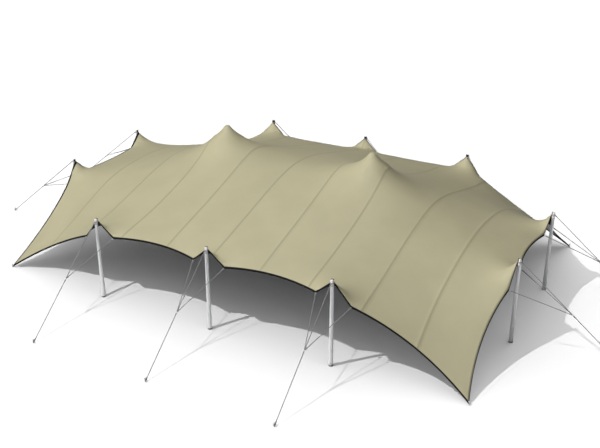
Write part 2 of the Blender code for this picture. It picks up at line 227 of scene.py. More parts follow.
class TentGuySettings(bpy.types.PropertyGroup):
    rope_radius: FloatProperty(
        name="Rope radius", description="Radius of the guy rope", unit="LENGTH", default=0.010)
    rope_colour: FloatVectorProperty(
        name="Rope colour", description="Braided polyester rope", subtype="COLOR",
        size=3, min=0, max=1, default=(0.32, 0.32, 0.32))
    ring_radius: FloatProperty(
        name="Ring radius", description="Radius of the steel ring where the legs meet", unit="LENGTH",
        default=0.020)
    steel_colour: FloatVectorProperty(
        name="Steel colour", description="Galvanised rings and pegs", subtype="COLOR",
        size=3, min=0, max=1, default=(0.55, 0.56, 0.57))


class TentStageSettings(bpy.types.PropertyGroup):
    lamp_light: FloatProperty(
        name="Lamp", description="Light of the lamp on a surface that faces it", default=1.33)
    sky_light: FloatProperty(
        name="Sky", description="Light from all round", default=0.025)
    floor_light: FloatProperty(
        name="Floor light", description="Soft light from above that only the floor takes", default=2.25)
    floor_shade: FloatProperty(
        name="Floor shade", description="Grey of the floor near the tent: its strong light makes it pale",
        default=0.33)
    far_shade: FloatProperty(
        name="Far floor shade", description="Grey of the floor far off, where the lamp grazes it",
        default=0.40)
    lens: FloatProperty(
        name="Lens", description="Focal length of the camera", unit="CAMERA", default=54.71)


# Finishes

def rgba(colour):
    """A colour with its alpha, or a signal as it is."""
    return colour if isinstance(colour, Signal) else (*colour, 1.0)


class Signal:
    """A node's output that takes part in plain arithmetic: each operator adds its Math node."""

    def __init__(self, finish, socket):
        self.finish = finish
        self.socket = socket

    def maths(self, operation, first, second=0.0):
        return self.finish.node("ShaderNodeMath", {"operation": operation}, {0: first, 1: second})

    def __add__(self, other):
        return self.maths("ADD", self, other)

    def __sub__(self, other):
        return self.maths("SUBTRACT", self, other)

    def __rsub__(self, other):
        return self.maths("SUBTRACT", other, self)

    def __mul__(self, other):
        return self.maths("MULTIPLY", self, other)

    def __abs__(self):
        return self.maths("ABSOLUTE", self)

    __radd__ = __add__
    __rmul__ = __mul__

    def sine(self):
        return self.maths("SINE", self)

    def off_lines(self, spacing):
        """Distance from the nearest of evenly spaced lines."""
        return self.maths("PINGPONG", self, spacing / 2)

    def parts(self):
        split = self.finish.node("ShaderNodeSeparateXYZ", {}, {0: self})
        return [Signal(self.finish, socket) for socket in split.socket.node.outputs]

    def step(self, low, high):
        """0 below low and 1 above high, smooth in between."""
        return self.finish.node(
            "ShaderNodeMapRange", {"interpolation_type": "SMOOTHSTEP"},
            {"Value": self, "From Min": low, "From Max": high})


class Finish:
    """A procedural finish on a Principled shader."""

    def __init__(self, name, **constants):
        self.material = bpy.data.materials.new(name)
        self.material.use_nodes = True
        self.tree = self.material.node_tree
        self.shader = self.tree.nodes["Principled BSDF"]
        self.paint(**constants)

    def feed(self, node, inputs):
        for key, value in inputs.items():
            if isinstance(value, Signal):
                self.tree.links.new(value.socket, node.inputs[key])
            else:
                node.inputs[key].default_value = value

    def node(self, kind, settings, inputs, output=0):
        """Add a node with its settings and its inputs, and return one output."""
        node = self.tree.nodes.new(kind)
        for key, value in settings.items():
            setattr(node, key, value)
        self.feed(node, inputs)
        return Signal(self, node.outputs[output])

    def object_place(self):
        return self.node("ShaderNodeTexCoord", {}, {}, "Object")

    def attribute(self, name):
        return self.node("ShaderNodeAttribute", {"attribute_name": name}, {}, "Vector")

    def noise(self, place, scale, detail=3.0, stretch=(1, 1, 1)):
        spread = self.node("ShaderNodeMapping", {}, {"Vector": place, "Scale": stretch})
        return self.node("ShaderNodeTexNoise", {}, {"Vector": spread, "Scale": scale, "Detail": detail})

    def mix(self, share, first, second):
        """The first colour where share is 0, and the second where it is 1."""
        inputs = {MIX_SHARE: share, MIX_FIRST: rgba(first), MIX_SECOND: rgba(second)}
        return self.node("ShaderNodeMix", {"data_type": "RGBA"}, inputs, MIX_RESULT)

    def bump(self, height, distance):
        return self.node("ShaderNodeBump", {}, {"Height": height, "Distance": distance})

    def paint(self, **inputs):
        """Feed the shader and return the finished material."""
        self.feed(self.shader, {key.replace("_", " "): value for key, value in inputs.items()})
        return self.material


def shade(colour, share):
    """A darker or lighter version of a colour."""
    return tuple(min(1.0, value * share) for value in colour)


def cloth_finish(name, colour, seam_width):
    """Coated stretch cloth: a fine knit under the coating, welded and stitched seams with painted shade
    along them, slight mottling.
    """
    finish = Finish(name, Specular_IOR_Level=0.28)
    place = finish.attribute(CLOTH_METRES)
    along, across, _ = place.parts()
    off_seam = along.off_lines(PANEL_WIDTH)
    seam = 1 - off_seam.step(0.4 * seam_width, 0.8 * seam_width)
    knit = (along * (math.tau / 0.008)).sine() * (across * (math.tau / 0.006)).sine()
    stitch_row = 1 - abs(off_seam - 0.3 * seam_width).step(0.0006, 0.0016)
    stitch = stitch_row * (across.off_lines(0.009).step(0.0012, 0.002))
    mottle = finish.noise(place, 0.8, 4.0)
    fibre = finish.noise(place, 220.0, 2.0)
    cloth = finish.mix(mottle.step(0.3, 0.7), shade(colour, 0.965), shade(colour, 1.03))
    cloth = finish.mix(fibre * 0.25, cloth, shade(colour, 0.8))
    # Painted shade: the seam band is darkened for the shading of its slightly raised ridge.
    cloth = finish.mix(seam * 0.8, cloth, shade(colour, 0.77))
    cloth = finish.mix(stitch * 0.8, cloth, shade(colour, 0.45))
    relief = knit * 0.35 + stitch * 1.5 + fibre * 0.4
    return finish.paint(
        Base_Color=cloth,
        Roughness=0.62 + mottle * 0.1 - seam * 0.08,
        Normal=finish.bump(relief, 0.0004))


def webbing_finish(name, colour):
    """Woven webbing: ribs across the tape with a painted highlight on their crests, a twill over them, and
    paler worn places.
    """
    finish = Finish(name, Specular_IOR_Level=0.15)
    place = finish.attribute(CLOTH_METRES)
    along, across, _ = place.parts()
    rib = ((along + across) * (math.tau / 0.005)).sine()
    twill = ((along - across) * (math.tau / 0.011)).sine()
    wear = finish.noise(place, 9.0, 5.0)
    tape = finish.mix(wear.step(0.45, 0.75) * 0.5, colour, shade(colour, 2.2))
    # Painted highlight: the tape is lighter on the crests of its ribs, where the bump rises.
    tape = finish.mix(rib * 0.2 + 0.2, tape, shade(colour, 1.6))
    return finish.paint(
        Base_Color=tape,
        Roughness=0.72 + wear * 0.12,
        Normal=finish.bump(rib * 0.6 + twill * 0.4, 0.0006))


def tube_finish(name, colour):
    """Extruded aluminium: fine die lines up the tube, scuffs that gather towards the foot."""
    finish = Finish(name, Metallic=0.15, Specular_IOR_Level=0.4)
    place = finish.object_place()
    _, _, height = place.parts()
    die_lines = finish.noise(place, 60.0, 2.0, (1, 1, 0.01))
    scuff = finish.noise(place, 14.0, 6.0, (1, 1, 0.4)).step(0.58, 0.7)
    low = 1 - height.step(0.05, 0.9)
    worn = scuff * (low * 0.5 + 0.12)
    metal = finish.mix(die_lines.step(0.35, 0.65) * 0.4, colour, shade(colour, 0.82))
    metal = finish.mix(worn, metal, (0.36, 0.36, 0.35))
    return finish.paint(
        Base_Color=metal,
        Roughness=0.46 + die_lines * 0.12 + worn * 0.25,
        Normal=finish.bump(die_lines, 0.0003))


def moulded_finish(name, colour, roughness, grain_scale):
    """Moulded plastic or rubber with a fine eroded grain."""
    finish = Finish(name)
    place = finish.object_place()
    grain = finish.noise(place, grain_scale, 4.0)
    cloud = finish.noise(place, 11.0, 3.0)
    body = finish.mix(cloud.step(0.4, 0.75) * 0.6, colour, shade(colour, 0.84))
    return finish.paint(
        Base_Color=body,
        Roughness=roughness + cloud * 0.1,
        Normal=finish.bump(grain, 0.0003))


def rope_finish(name, colour, fleck):
    """Braided rope: strands that cross at a slant with painted shade in the grooves between them, a dark
    fleck in every fourth.
    """
    finish = Finish(name, Specular_IOR_Level=0.25)
    place = finish.node("ShaderNodeUVMap", {"uv_map": ROPE_METRES}, {})
    around, along, _ = place.parts()
    pitch = math.tau / 0.011
    one_way = (around * pitch + along * pitch * 0.6).sine()
    other_way = (around * pitch - along * pitch * 0.6).sine()
    strand = one_way * other_way
    flecks = (around * (pitch / 4) + along * (pitch * 0.15)).sine().step(0.7, 0.9)
    fibre = finish.noise(finish.object_place(), 260.0, 3.0)
    # Painted shade: the cord is darker in the low grooves between its strands, where the bump sinks.
    cord = finish.mix(strand.step(-0.6, 0.4), shade(colour, 0.55), colour)
    cord = finish.mix(flecks * 0.6, cord, fleck)
    return finish.paint(
        Base_Color=cord,
        Roughness=0.78 + fibre * 0.1,
        Normal=finish.bump(strand + fibre * 0.4, 0.0012))


def steel_finish(name, colour):
    """Galvanised steel: a spangle of zinc grains, and dulled where it meets the ground."""
    finish = Finish(name, Metallic=0.9)
    place = finish.object_place()
    _, _, height = place.parts()
    spangle = finish.node("ShaderNodeTexVoronoi", {}, {"Vector": place, "Scale": 140.0}, "Color")
    grain, _, _ = spangle.parts()
    soil = (1 - height.step(0.01, 0.06)) * finish.noise(place, 60.0, 4.0).step(0.35, 0.6)
    metal = finish.mix(grain * 0.5, colour, shade(colour, 0.72))
    metal = finish.mix(soil * 0.7, metal, (0.20, 0.17, 0.13))
    return finish.paint(
        Base_Color=metal,
        Roughness=0.36 + grain * 0.12 + soil * 0.35,
        Normal=finish.bump(grain, 0.0002))


# Canopy surface

def mirrored_lines(marks):
    """Even lines no wider than about GRID_STEP through every mark of a half, mirrored about zero."""
    half = [marks[0]]
    for start, end in zip(marks, marks[1:]):
        count = max(1, round((end - start) / GRID_STEP))
        half += [start + (end - start) * k / count for k in range(1, count + 1)]
    return np.array([-value for value in half[:0:-1]] + half)


def first_lines():
    """Lines of the first grid, along and across the tent."""
    side = [SHOULDER_REACH * share for share in (-1, -0.5, 0, 0.5, 1)]
    king = (0.0, KING_FLAT, 0.4 * KING_REACH, KING_REACH)
    along = {0.0, SHOULDER_REACH / 2, SHOULDER_REACH, HALF_LENGTH - PATCH_DEPTH, HALF_LENGTH}
    along.update(PANEL_WIDTH * k for k in range(1, int(HALF_LENGTH / PANEL_WIDTH)))
    along.update(KING_X + sign * shift for sign in (-1, 1) for shift in king)
    along.update(SIDE_POLE_X + shift for shift in side)
    across = {HALF_WIDTH - PATCH_DEPTH, HALF_WIDTH, *king}
    across.update(END_POLE_Y + shift for shift in side)
    return mirrored_lines(sorted(along)), mirrored_lines(sorted(across))


def halved(lines):
    """The lines with one more between each two."""
    return np.interp(np.arange(2 * len(lines) - 1) / 2, np.arange(len(lines)), lines)


def resample(points, lines, wanted):
    """The points of a grid at other lines of its first direction."""
    spot = np.interp(wanted, lines, np.arange(len(lines)))
    low = np.minimum(spot.astype(int), len(lines) - 2)
    share = (spot - low)[:, None, None]
    return points[low] * (1 - share) + points[low + 1] * share


def resample_both(points, xs, ys, new_xs, new_ys):
    """The points of a grid at other lines of both directions."""
    points = resample(points, xs, new_xs)
    return resample(points.transpose(1, 0, 2), ys, new_ys).transpose(1, 0, 2)


def line_share(lines):
    """Width of cloth that each line stands for."""
    steps = np.diff(lines)
    share = np.zeros(len(lines))
    share[:-1] += steps / 2
    share[1:] += steps / 2
    return share


def stations():
    """Every side pole: its name, foot, and the two directions outward and along the edge."""
    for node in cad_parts:
        if node.startswith("pole_"):
            name = node.removeprefix("pole_")
            outward = OUTWARD[name.split("_")[0]]
            yield name, middle(node)[0], outward, Vector((abs(outward.y), abs(outward.x), 0))


def shoulder_height(along, outer_pole):
    """A shoulder beyond the outer pole of its edge faces a bay that runs down to the ground."""
    return OUTER_SHOULDER_HEIGHT if abs(along) > outer_pole else SHOULDER_HEIGHT


def shoulders(foot, outward, along):
    """The two places beside a pole where a rope holds the edge, at the top of the cloth."""
    for sign in (-1, 1):
        spot = foot + sign * SHOULDER_REACH * along
        height = shoulder_height(spot.dot(along), END_POLE_Y if outward.x else SIDE_POLE_X)
        yield spot, spot - SHOULDER_INSET * outward + height * UP


def cloth_fall(distance):
    """How far the cloth has dropped at this distance from the pole that lifts it."""
    return CLOTH_FALL * math.log(1 + distance / CLOTH_ROUND)


def held_points(xs, ys):
    """Every grid point that holds the canopy, with its place."""
    held = {}

    def hold_round(centre, reach, place):
        for i in np.flatnonzero(abs(xs - centre.x) <= reach):
            for j in np.flatnonzero(abs(ys - centre.y) <= reach):
                distance = math.hypot(xs[i] - centre.x, ys[j] - centre.y)
                on_rim = i in (0, len(xs) - 1) or j in (0, len(ys) - 1)
                if distance < SAME_PLACE or (distance < reach + SAME_PLACE and not on_rim):
                    held[i, j] = place(xs[i], ys[j], distance)

    def nearest(spot):
        return int(abs(xs - spot.x).argmin()), int(abs(ys - spot.y).argmin())

    for _, foot, outward, along in stations():
        tip = outward * (CAP_RADIUS + GAP)
        hold_round(foot, TIP_REACH, lambda x, y, r: (x - tip.x, y - tip.y, TIP_HEIGHT - cloth_fall(r)))
        for spot, eye in shoulders(foot, outward, along):
            held[nearest(spot)] = eye
    for end in (-1, 1):
        hold_round(Vector((end * KING_X, 0, 0)), KING_REACH,
                   lambda x, y, r: (x, y, CANOPY_TOP - cloth_fall(max(0.0, r - CROWN_RADIUS))))
        for side in (-1, 1):
            corner = nearest(Vector((end * HALF_LENGTH, side * HALF_WIDTH, 0)))
            held[corner] = (end * CORNER_X, side * CORNER_Y, CORNER_HEIGHT)
    return held


def relax(points, xs, ys, sweeps, over_relaxation):
    """Move each free point to where the pulls of its neighbours balance, again and again."""
    pull_x = LENGTHWISE_PULL * line_share(ys)[None, :] / np.diff(xs)[:, None]
    pull_y = line_share(xs)[:, None] / np.diff(ys)[None, :]
    for edge in (0, -1):
        pull_x[:, edge] += SIDE_EDGE_PULL / np.diff(xs)
        pull_y[edge, :] += END_EDGE_PULL / np.diff(ys)
    lift = np.zeros_like(points)
    lift[..., 2] = LIFT * np.outer(line_share(xs), line_share(ys))
    free = np.ones(points.shape[:2], bool)
    for spot, place in held_points(xs, ys).items():
        points[spot] = place
        free[spot] = False
    total = np.zeros(points.shape[:2])
    total[:-1] += pull_x
    total[1:] += pull_x
    total[:, :-1] += pull_y
    total[:, 1:] += pull_y
    even = np.add.outer(np.arange(len(xs)), np.arange(len(ys))) % 2 == 0
    turns = (free & ~even, free & even)
    pull_x = pull_x[..., None]
    pull_y = pull_y[..., None]
    for sweep in range(sweeps):
        turn = turns[sweep % 2]
        drawn = lift.copy()
        drawn[:-1] += pull_x * points[1:]
        drawn[1:] += pull_x * points[:-1]
        drawn[:, :-1] += pull_y * points[:, 1:]
        drawn[:, 1:] += pull_y * points[:, :-1]
        points[turn] += over_relaxation * (drawn[turn] / total[turn][:, None] - points[turn])
    return points


@functools.cache
def canopy_form():
    """The canopy at rest: its lines along and across, and its points."""
    xs, ys = first_lines()
    points = np.zeros((len(xs), len(ys), 3))
    points[..., 0] = xs[:, None]
    points[..., 1] = ys[None, :]
    points[..., 2] = SHOULDER_HEIGHT
    for level, (sweeps, over_relaxation) in enumerate(PASSES):
        if level:
            new_xs, new_ys = halved(xs), halved(ys)
            points = resample_both(points, xs, ys, new_xs, new_ys)
            xs, ys = new_xs, new_ys
        points = relax(points, xs, ys, sweeps, over_relaxation)
    return xs, ys, points


def surface_normals(points):
    """Upward unit normals of a grid of points."""
    along = np.gradient(points, axis=0)
    across = np.gradient(points, axis=1)
    normals = np.cross(along, across)
    return normals / np.linalg.norm(normals, axis=2, keepdims=True)


def cloth_grid(points, xs, ys):
    """A sheet of quads through a grid of points, which keeps the flat place of each in the cloth."""
    columns, rows = points.shape[:2]
    bm = bmesh.new()
    bmesh.ops.create_grid(bm, x_segments=columns - 1, y_segments=rows - 1, size=1.0)
    metres = bm.verts.layers.float_vector.new(CLOTH_METRES)
    for vert in bm.verts:
        i = round((vert.co.x + 1) / 2 * (columns - 1))
        j = round((vert.co.y + 1) / 2 * (rows - 1))
        vert.co = points[i, j]
        vert[metres] = (xs[i], ys[j], 0)
    return bm


# Pieces

def put(name, data, place=(0, 0, 0)):
    """Add an object to the scene at a place."""
    item = bpy.data.objects.new(name, data)
    item.location = place
    bpy.context.scene.collection.objects.link(item)
    return item


def add_piece(name, bm, materials, replaces=(), crease=40):
    """Finish a mesh as a smooth piece that rides on the tent."""
    mesh = bpy.data.meshes.new(name)
    bm.to_mesh(mesh)
    bm.free()
    mesh.shade_smooth()
    mesh.set_sharp_from_angle(angle=math.radians(crease))
    for material in materials:
        mesh.materials.append(material)
    piece = put(name, mesh)
    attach(piece, "root")
    if replaces:
        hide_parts(*replaces)
    return piece


def add_modifier(piece, kind, **settings):
    """Add a modifier with its settings."""
    modifier = piece.modifiers.new(kind.lower(), kind)
    for key, value in settings.items():
        setattr(modifier, key, value)


def added_since(bm, known):
    """The points of a mesh that weren't there before."""
    return [vert for vert in bm.verts if vert not in known]


def close_up(bm):
    """Point all faces of a closed body outwards."""
    bmesh.ops.recalc_face_normals(bm, faces=bm.faces[:])


def second_side(bm):
    """Extrude a sheet into a slab, and return the points of its new side, which are still to be moved."""
    side = bmesh.ops.extrude_face_region(bm, geom=bm.faces[:], use_keep_orig=True)["geom"]
    return [item for item in side if isinstance(item, bmesh.types.BMVert)]


def spin_round(bm, section, steps):
    """Turn a section once about the upright axis."""
    bmesh.ops.spin(bm, geom=section, cent=(0, 0, 0), axis=UP, angle=math.tau, steps=steps, use_merge=True)


def turn(bm, profile, place, steps=32):
    """Turn (radius, height) points given from top to bottom into a closed body that stands at place."""
    known = set(bm.verts)
    verts = [bm.verts.new((radius, 0.0, height)) for radius, height in profile]
    edges = [bm.edges.new(pair) for pair in zip(verts, verts[1:])]
    spin_round(bm, verts + edges, steps)
    bmesh.ops.remove_doubles(bm, verts=added_since(bm, known), dist=0.00005)
    bmesh.ops.translate(bm, verts=added_since(bm, known), vec=place)


def add_ring(bm, centre, axis, radius, thickness, steps=28, sides=10):
    """A round ring of wire or rope about an axis."""
    known = set(bm.verts)
    section = Matrix.Translation((radius, 0, 0)) @ Matrix.Rotation(math.pi / 2, 4, "X")
    bmesh.ops.create_circle(bm, cap_ends=False, segments=sides, radius=thickness, matrix=section)
    verts = added_since(bm, known)
    edges = {edge for vert in verts for edge in vert.link_edges}
    spin_round(bm, verts + list(edges), steps)
    pose = Vector(axis).to_track_quat("Z", "Y").to_matrix().to_4x4()
    pose.translation = centre
    bmesh.ops.transform(bm, matrix=pose, verts=added_since(bm, known))


def add_rod(bm, start, end, radius, sides=12):
    """A straight rope or bar, with its own metres around and along as UV."""
    run = end - start
    pose = run.to_track_quat("Z", "Y").to_matrix().to_4x4()
    pose.translation = (start + end) / 2
    rod = bmesh.ops.create_cone(bm, cap_ends=True, segments=sides, radius1=radius, radius2=radius,
                                depth=run.length, matrix=pose)
    flat = bm.loops.layers.uv[ROPE_METRES]
    back = pose.inverted()
    for face in {face for vert in rod["verts"] for face in vert.link_faces}:
        centre = back @ face.calc_center_median()
        facing = math.atan2(centre.y, centre.x)
        for loop in face.loops:
            spot = back @ loop.vert.co
            swing = math.atan2(spot.y, spot.x) - facing
            swing = (swing + math.pi) % math.tau - math.pi
            loop[flat].uv = ((facing + swing) * radius, spot.z)


@functools.cache
def finishes():
    """All finishes of the tent, made once."""
    cloth = bpy.context.scene.tent_cloth
    poles = bpy.context.scene.tent_poles
    guys = bpy.context.scene.tent_guys
    return {
        "top": cloth_finish("sand_stretch_cloth", cloth.top_colour, cloth.seam_width),
        "under": cloth_finish("pale_cloth_back", cloth.under_colour, cloth.seam_width),
        "trim": webbing_finish("black_webbing", cloth.trim_colour),
        "tube": tube_finish("extruded_aluminium", poles.tube_colour),
        "cap": moulded_finish("white_cap_plastic", poles.cap_colour, 0.32, 900.0),
        "collar": moulded_finish("grey_collar_plastic", (0.34, 0.34, 0.345), 0.45, 900.0),
        "rubber": moulded_finish("foot_rubber", (0.24, 0.24, 0.24), 0.7, 700.0),
        "rope": rope_finish("braided_rope", guys.rope_colour, (0.08, 0.08, 0.09)),
        "steel": steel_finish("galvanised_steel", guys.steel_colour),
    }


def add_pole(name, node, foot, profile, cap_start, collar):
    """Turn a pole whose cap starts at a height and whose collar lies between two heights."""
    material = finishes()
    bm = bmesh.new()
    turn(bm, profile, foot)
    for face in bm.faces:
        height = face.calc_center_median().z
        if height > cap_start:
            face.material_index = 1
        elif collar[0] < height < collar[1]:
            face.material_index = 2
        elif height < bpy.context.scene.tent_poles.foot_height:
            face.material_index = 3
    close_up(bm)
    slots = [material[key] for key in ("tube", "cap", "collar", "rubber")]
    add_piece(name, bm, slots, (node,), crease=50)


class TENT_OT_canopy(bpy.types.Operator):
    """Make the canopy as one stretched sheet with its seams, and the patches under its pole tips"""
    bl_idname = "tent.canopy"
    bl_label = "Canopy"

    def execute(self, context):
        settings = context.scene.tent_cloth
        xs, ys, points = canopy_form()
        half = settings.seam_width / 2
        seams = np.arange(-HALF_LENGTH + PANEL_WIDTH, HALF_LENGTH - PANEL_WIDTH / 2, PANEL_WIDTH)
        shifts = (-half - SEAM_SLOPE, -half, half, half + SEAM_SLOPE)
        fine_xs = np.unique(np.round(np.concatenate([xs, *(seams + shift for shift in shifts)]), 5))
        points = resample(points, xs, fine_xs)
        on_seam = abs(fine_xs[:, None] - seams).min(axis=1) < half + LINE_ROUNDING
        points[on_seam] += SEAM_RISE * surface_normals(points)[on_seam]
        material = finishes()
        canopy = add_piece(
            "canopy", cloth_grid(points, fine_xs, ys), (material["top"], material["under"]),
            [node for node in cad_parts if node.startswith("canopy_panel")], crease=60)
        add_modifier(canopy, "SOLIDIFY", thickness=settings.thickness, offset=-1.0, material_offset=1)
        self.make_patches(settings, material["trim"])
        return {"FINISHED"}

    def make_patches(self, settings, material):
        """A black patch under the cloth at every pole tip, from shoulder to shoulder."""
        xs, ys, points = canopy_form()
        normals = surface_normals(points)
        shares = np.linspace(-1, 1, PATCH_LINES[0])
        depths = np.linspace(0, 1, PATCH_LINES[1])
        for name, foot, outward, along in stations():
            bm = cloth_grid(np.zeros((len(shares), len(depths), 3)), shares, depths)
            metres = bm.verts.layers.float_vector[CLOTH_METRES]
            for vert in bm.verts:
                share, depth, _ = vert[metres]
                rounding = math.sqrt(1 - share ** 2)
                reach = PATCH_SHOULDER_DEPTH + (PATCH_REACH - PATCH_SHOULDER_DEPTH) * rounding
                inward = HEM_WIDTH + PATCH_SLACK + depth * (reach - HEM_WIDTH)
                spot = foot + share * PATCH_SPREAD * SHOULDER_REACH * along - inward * outward
                place = resample_both(points, xs, ys, [spot.x], [spot.y])[0, 0]
                lift = resample_both(normals, xs, ys, [spot.x], [spot.y])[0, 0]
                vert.co = place - (settings.thickness + PATCH_SLACK) * lift
                vert[metres] = (spot.x, spot.y, 0)
            close_up(bm)
            bm.faces.ensure_lookup_table()
            if bm.faces[0].normal.z < 0:
                bmesh.ops.reverse_faces(bm, faces=bm.faces[:])
            patch = add_piece(f"tip_patch_{name}", bm, (material,), crease=60)
            add_modifier(patch, "SOLIDIFY", thickness=PATCH_THICKNESS, offset=-1.0)


class TENT_OT_hems(bpy.types.Operator):
    """Make the black webbing along each edge, the tape folded over its rim, and the hoods at the tips"""
    bl_idname = "tent.hems"
    bl_label = "Hems"

    def execute(self, context):
        settings = context.scene.tent_cloth
        xs, ys, points = canopy_form()
        inner_x = np.array([-HALF_LENGTH + HEM_WIDTH, HALF_LENGTH - HEM_WIDTH])
        inner_y = np.array([-HALF_WIDTH + HEM_WIDTH, HALF_WIDTH - HEM_WIDTH])
        end_ys = np.concatenate([inner_y[:1] + HEM_END_GAP, ys[1:-1], inner_y[1:] - HEM_END_GAP])
        edges = {
            "front": (xs, np.array([-HALF_WIDTH, inner_y[0]])),
            "back": (xs, np.array([inner_y[1], HALF_WIDTH])),
            "left": (np.array([-HALF_LENGTH, inner_x[0]]), end_ys),
            "right": (np.array([inner_x[1], HALF_LENGTH]), end_ys),
        }
        for side, (hem_xs, hem_ys) in edges.items():
            strip = resample_both(points, xs, ys, hem_xs, hem_ys)
            strip[..., 2] -= settings.thickness + GAP
            bm = cloth_grid(strip, hem_xs, hem_ys)
            bmesh.ops.translate(bm, verts=second_side(bm), vec=(0, 0, settings.thickness + GAP - HEM_BOTTOM))
            close_up(bm)
            hem = add_piece(f"webbing_{side}", bm, (finishes()["trim"],), (f"hem_{side}",))
            add_modifier(hem, "BEVEL", width=HEM_ROUNDING, segments=3, limit_method="ANGLE",
                         angle_limit=math.radians(50))
        for side, width in BINDING_WIDTHS.items():
            self.make_binding(side, width)
        for name, foot, outward, along in stations():
            self.make_hood(name, foot, outward, along)
        return {"FINISHED"}

    def make_binding(self, side, width):
        """Tape folded over the rim of the cloth: a strip on top and a face outside."""
        xs, ys, points = canopy_form()
        outward = OUTWARD[side]
        along = ys if outward.x else xs
        feet = [foot for name, foot, _, _ in stations() if name.startswith(side)]
        poles = [foot.y if outward.x else foot.x for foot in feet]
        room = abs(along[:, None] - poles).min(axis=1).clip(0, CAP_ROOM) / CAP_ROOM
        normals = surface_normals(points)
        rows = []
        for inset in (width, width / 2, 0.0):
            if outward.x:
                spot = ([outward.x * (HALF_LENGTH - inset)], ys)
            else:
                spot = (xs, [outward.y * (HALF_WIDTH - inset)])
            place = resample_both(points, xs, ys, *spot).reshape(-1, 3)
            rise = resample_both(normals, xs, ys, *spot).reshape(-1, 3)
            rows.append(place + BINDING_PROUD * rise)
        outside = place + BINDING_PROUD * room[:, None] * np.array(outward)
        rows.append(outside + (0, 0, 0.4 * BINDING_PROUD))
        rows.append(outside - (0, 0, HEM_BOTTOM))
        lines = np.array([width, width / 2, 0.0, -BINDING_PROUD, -HEM_BOTTOM])
        bm = cloth_grid(np.array(rows), lines, along)
        bmesh.ops.translate(bm, verts=second_side(bm), vec=-BINDING_THICKNESS * (outward + UP))
        close_up(bm)
        add_piece(f"binding_{side}", bm, (finishes()["trim"],), crease=60)

    def make_hood(self, name, foot, outward, along):
        """Half a cup of webbing on the tip of the cloth, around the inner side of the pole's cap."""
        angles = np.linspace(-HOOD_ANGLE, HOOD_ANGLE, HOOD_LINES[1])
        radius = CAP_RADIUS + GAP
        rows = []
        for height in np.linspace(0, 1, HOOD_LINES[0]):
            ring = []
            for angle in angles:
                low = TIP_HEIGHT - HOOD_DROP * abs(math.sin(angle)) - HOOD_SKIRT
                across = radius * (math.sin(angle) * along - math.cos(angle) * outward)
                ring.append(foot + across + UP * (low + height * (POLE_TOP + GAP - low)))
            rows.append(ring)
        bm = cloth_grid(np.array(rows), np.linspace(0, HOOD_TAPE, HOOD_LINES[0]), angles * radius)
        for vert in second_side(bm):
            flat = vert.co - foot
            flat.z = 0
            vert.co += HOOD_THICKNESS * flat.normalized()
        close_up(bm)
        add_piece(f"tip_hood_{name}", bm, (finishes()["trim"],), crease=60)


class TENT_OT_side_poles(bpy.types.Operator):
    """Make the side poles: tube, white cap with its collar, and rubber foot"""
    bl_idname = "tent.side_poles"
    bl_label = "Side Poles"

    def execute(self, context):
        settings = context.scene.tent_poles
        cap_end = POLE_TOP - settings.cap_height
        collar = (cap_end - COLLAR_DROP, cap_end + COLLAR_RISE)
        for name, foot, _, _ in stations():
            add_pole(f"side_pole_{name}", f"pole_{name}", foot, self.profile(settings), collar[1], collar)
        return {"FINISHED"}

    def profile(self, settings):
        """Outline of a side pole, from the rounded cap down to the foot."""
        top, radius = POLE_TOP, CAP_RADIUS
        dome = 0.6 * radius
        arc = [(radius * math.sin(angle), top - dome + dome * math.cos(angle))
               for angle in (math.radians(degree) for degree in range(0, 91, 15))]
        cap_end = top - settings.cap_height
        tube, foot = settings.side_radius, settings.foot_radius
        shoe = settings.foot_height
        return arc + [
            (radius, cap_end + 0.006),
            (radius + 0.002, cap_end + COLLAR_RISE),
            (radius + 0.002, cap_end - 0.010),
            (tube + 0.001, cap_end - 0.012),
            (tube, cap_end - 0.013),
            (settings.base_radius, shoe + 0.004),
            (settings.base_radius + 0.002, shoe),
            (foot - 0.001, 0.8 * shoe),
            (foot, 0.45 * shoe),
            (foot, 0.004),
            (foot - 0.004, 0.0),
            (0.0, 0.0),
        ]


class TENT_OT_king_poles(bpy.types.Operator):
    """Make the two king poles: a tube in two lengths with a collar, a rounded head and a rubber foot"""
    bl_idname = "tent.king_poles"
    bl_label = "King Poles"

    def execute(self, context):
        settings = context.scene.tent_poles
        for end in ("left", "right"):
            node = f"king_pole_{end}"
            foot, top = middle(node)
            sleeve = (top / 2 - SLEEVE_HALF, top / 2 + SLEEVE_HALF)
            add_pole(f"{node}_dressed", node, foot, self.profile(settings, top), top - KING_HEAD, sleeve)
        return {"FINISHED"}

    def profile(self, settings, top):
        """Outline of a king pole from its rounded head down to the foot."""
        tube, foot = settings.king_radius, settings.foot_radius
        head = 0.9 * tube
        shoe = settings.foot_height
        return [
            (0.0, top),
            (0.75 * head, top - 0.0005),
            (0.93 * head, top - 0.005),
            (head, top - 0.014),
            (head, top - KING_HEAD),
            (tube, top - KING_HEAD - 0.002),
            (tube, top / 2 + SLEEVE_HALF),
            (tube + 0.003, top / 2 + SLEEVE_HALF - 0.003),
            (tube + 0.003, top / 2 - SLEEVE_HALF + 0.003),
            (tube, top / 2 - SLEEVE_HALF),
            (tube, shoe + 0.004),
            (tube + 0.003, shoe),
            (foot - 0.003, 0.6 * shoe),
            (foot, 0.45 * shoe),
            (foot, 0.004),
            (foot - 0.004, 0.0),
            (0.0, 0.0),
        ]


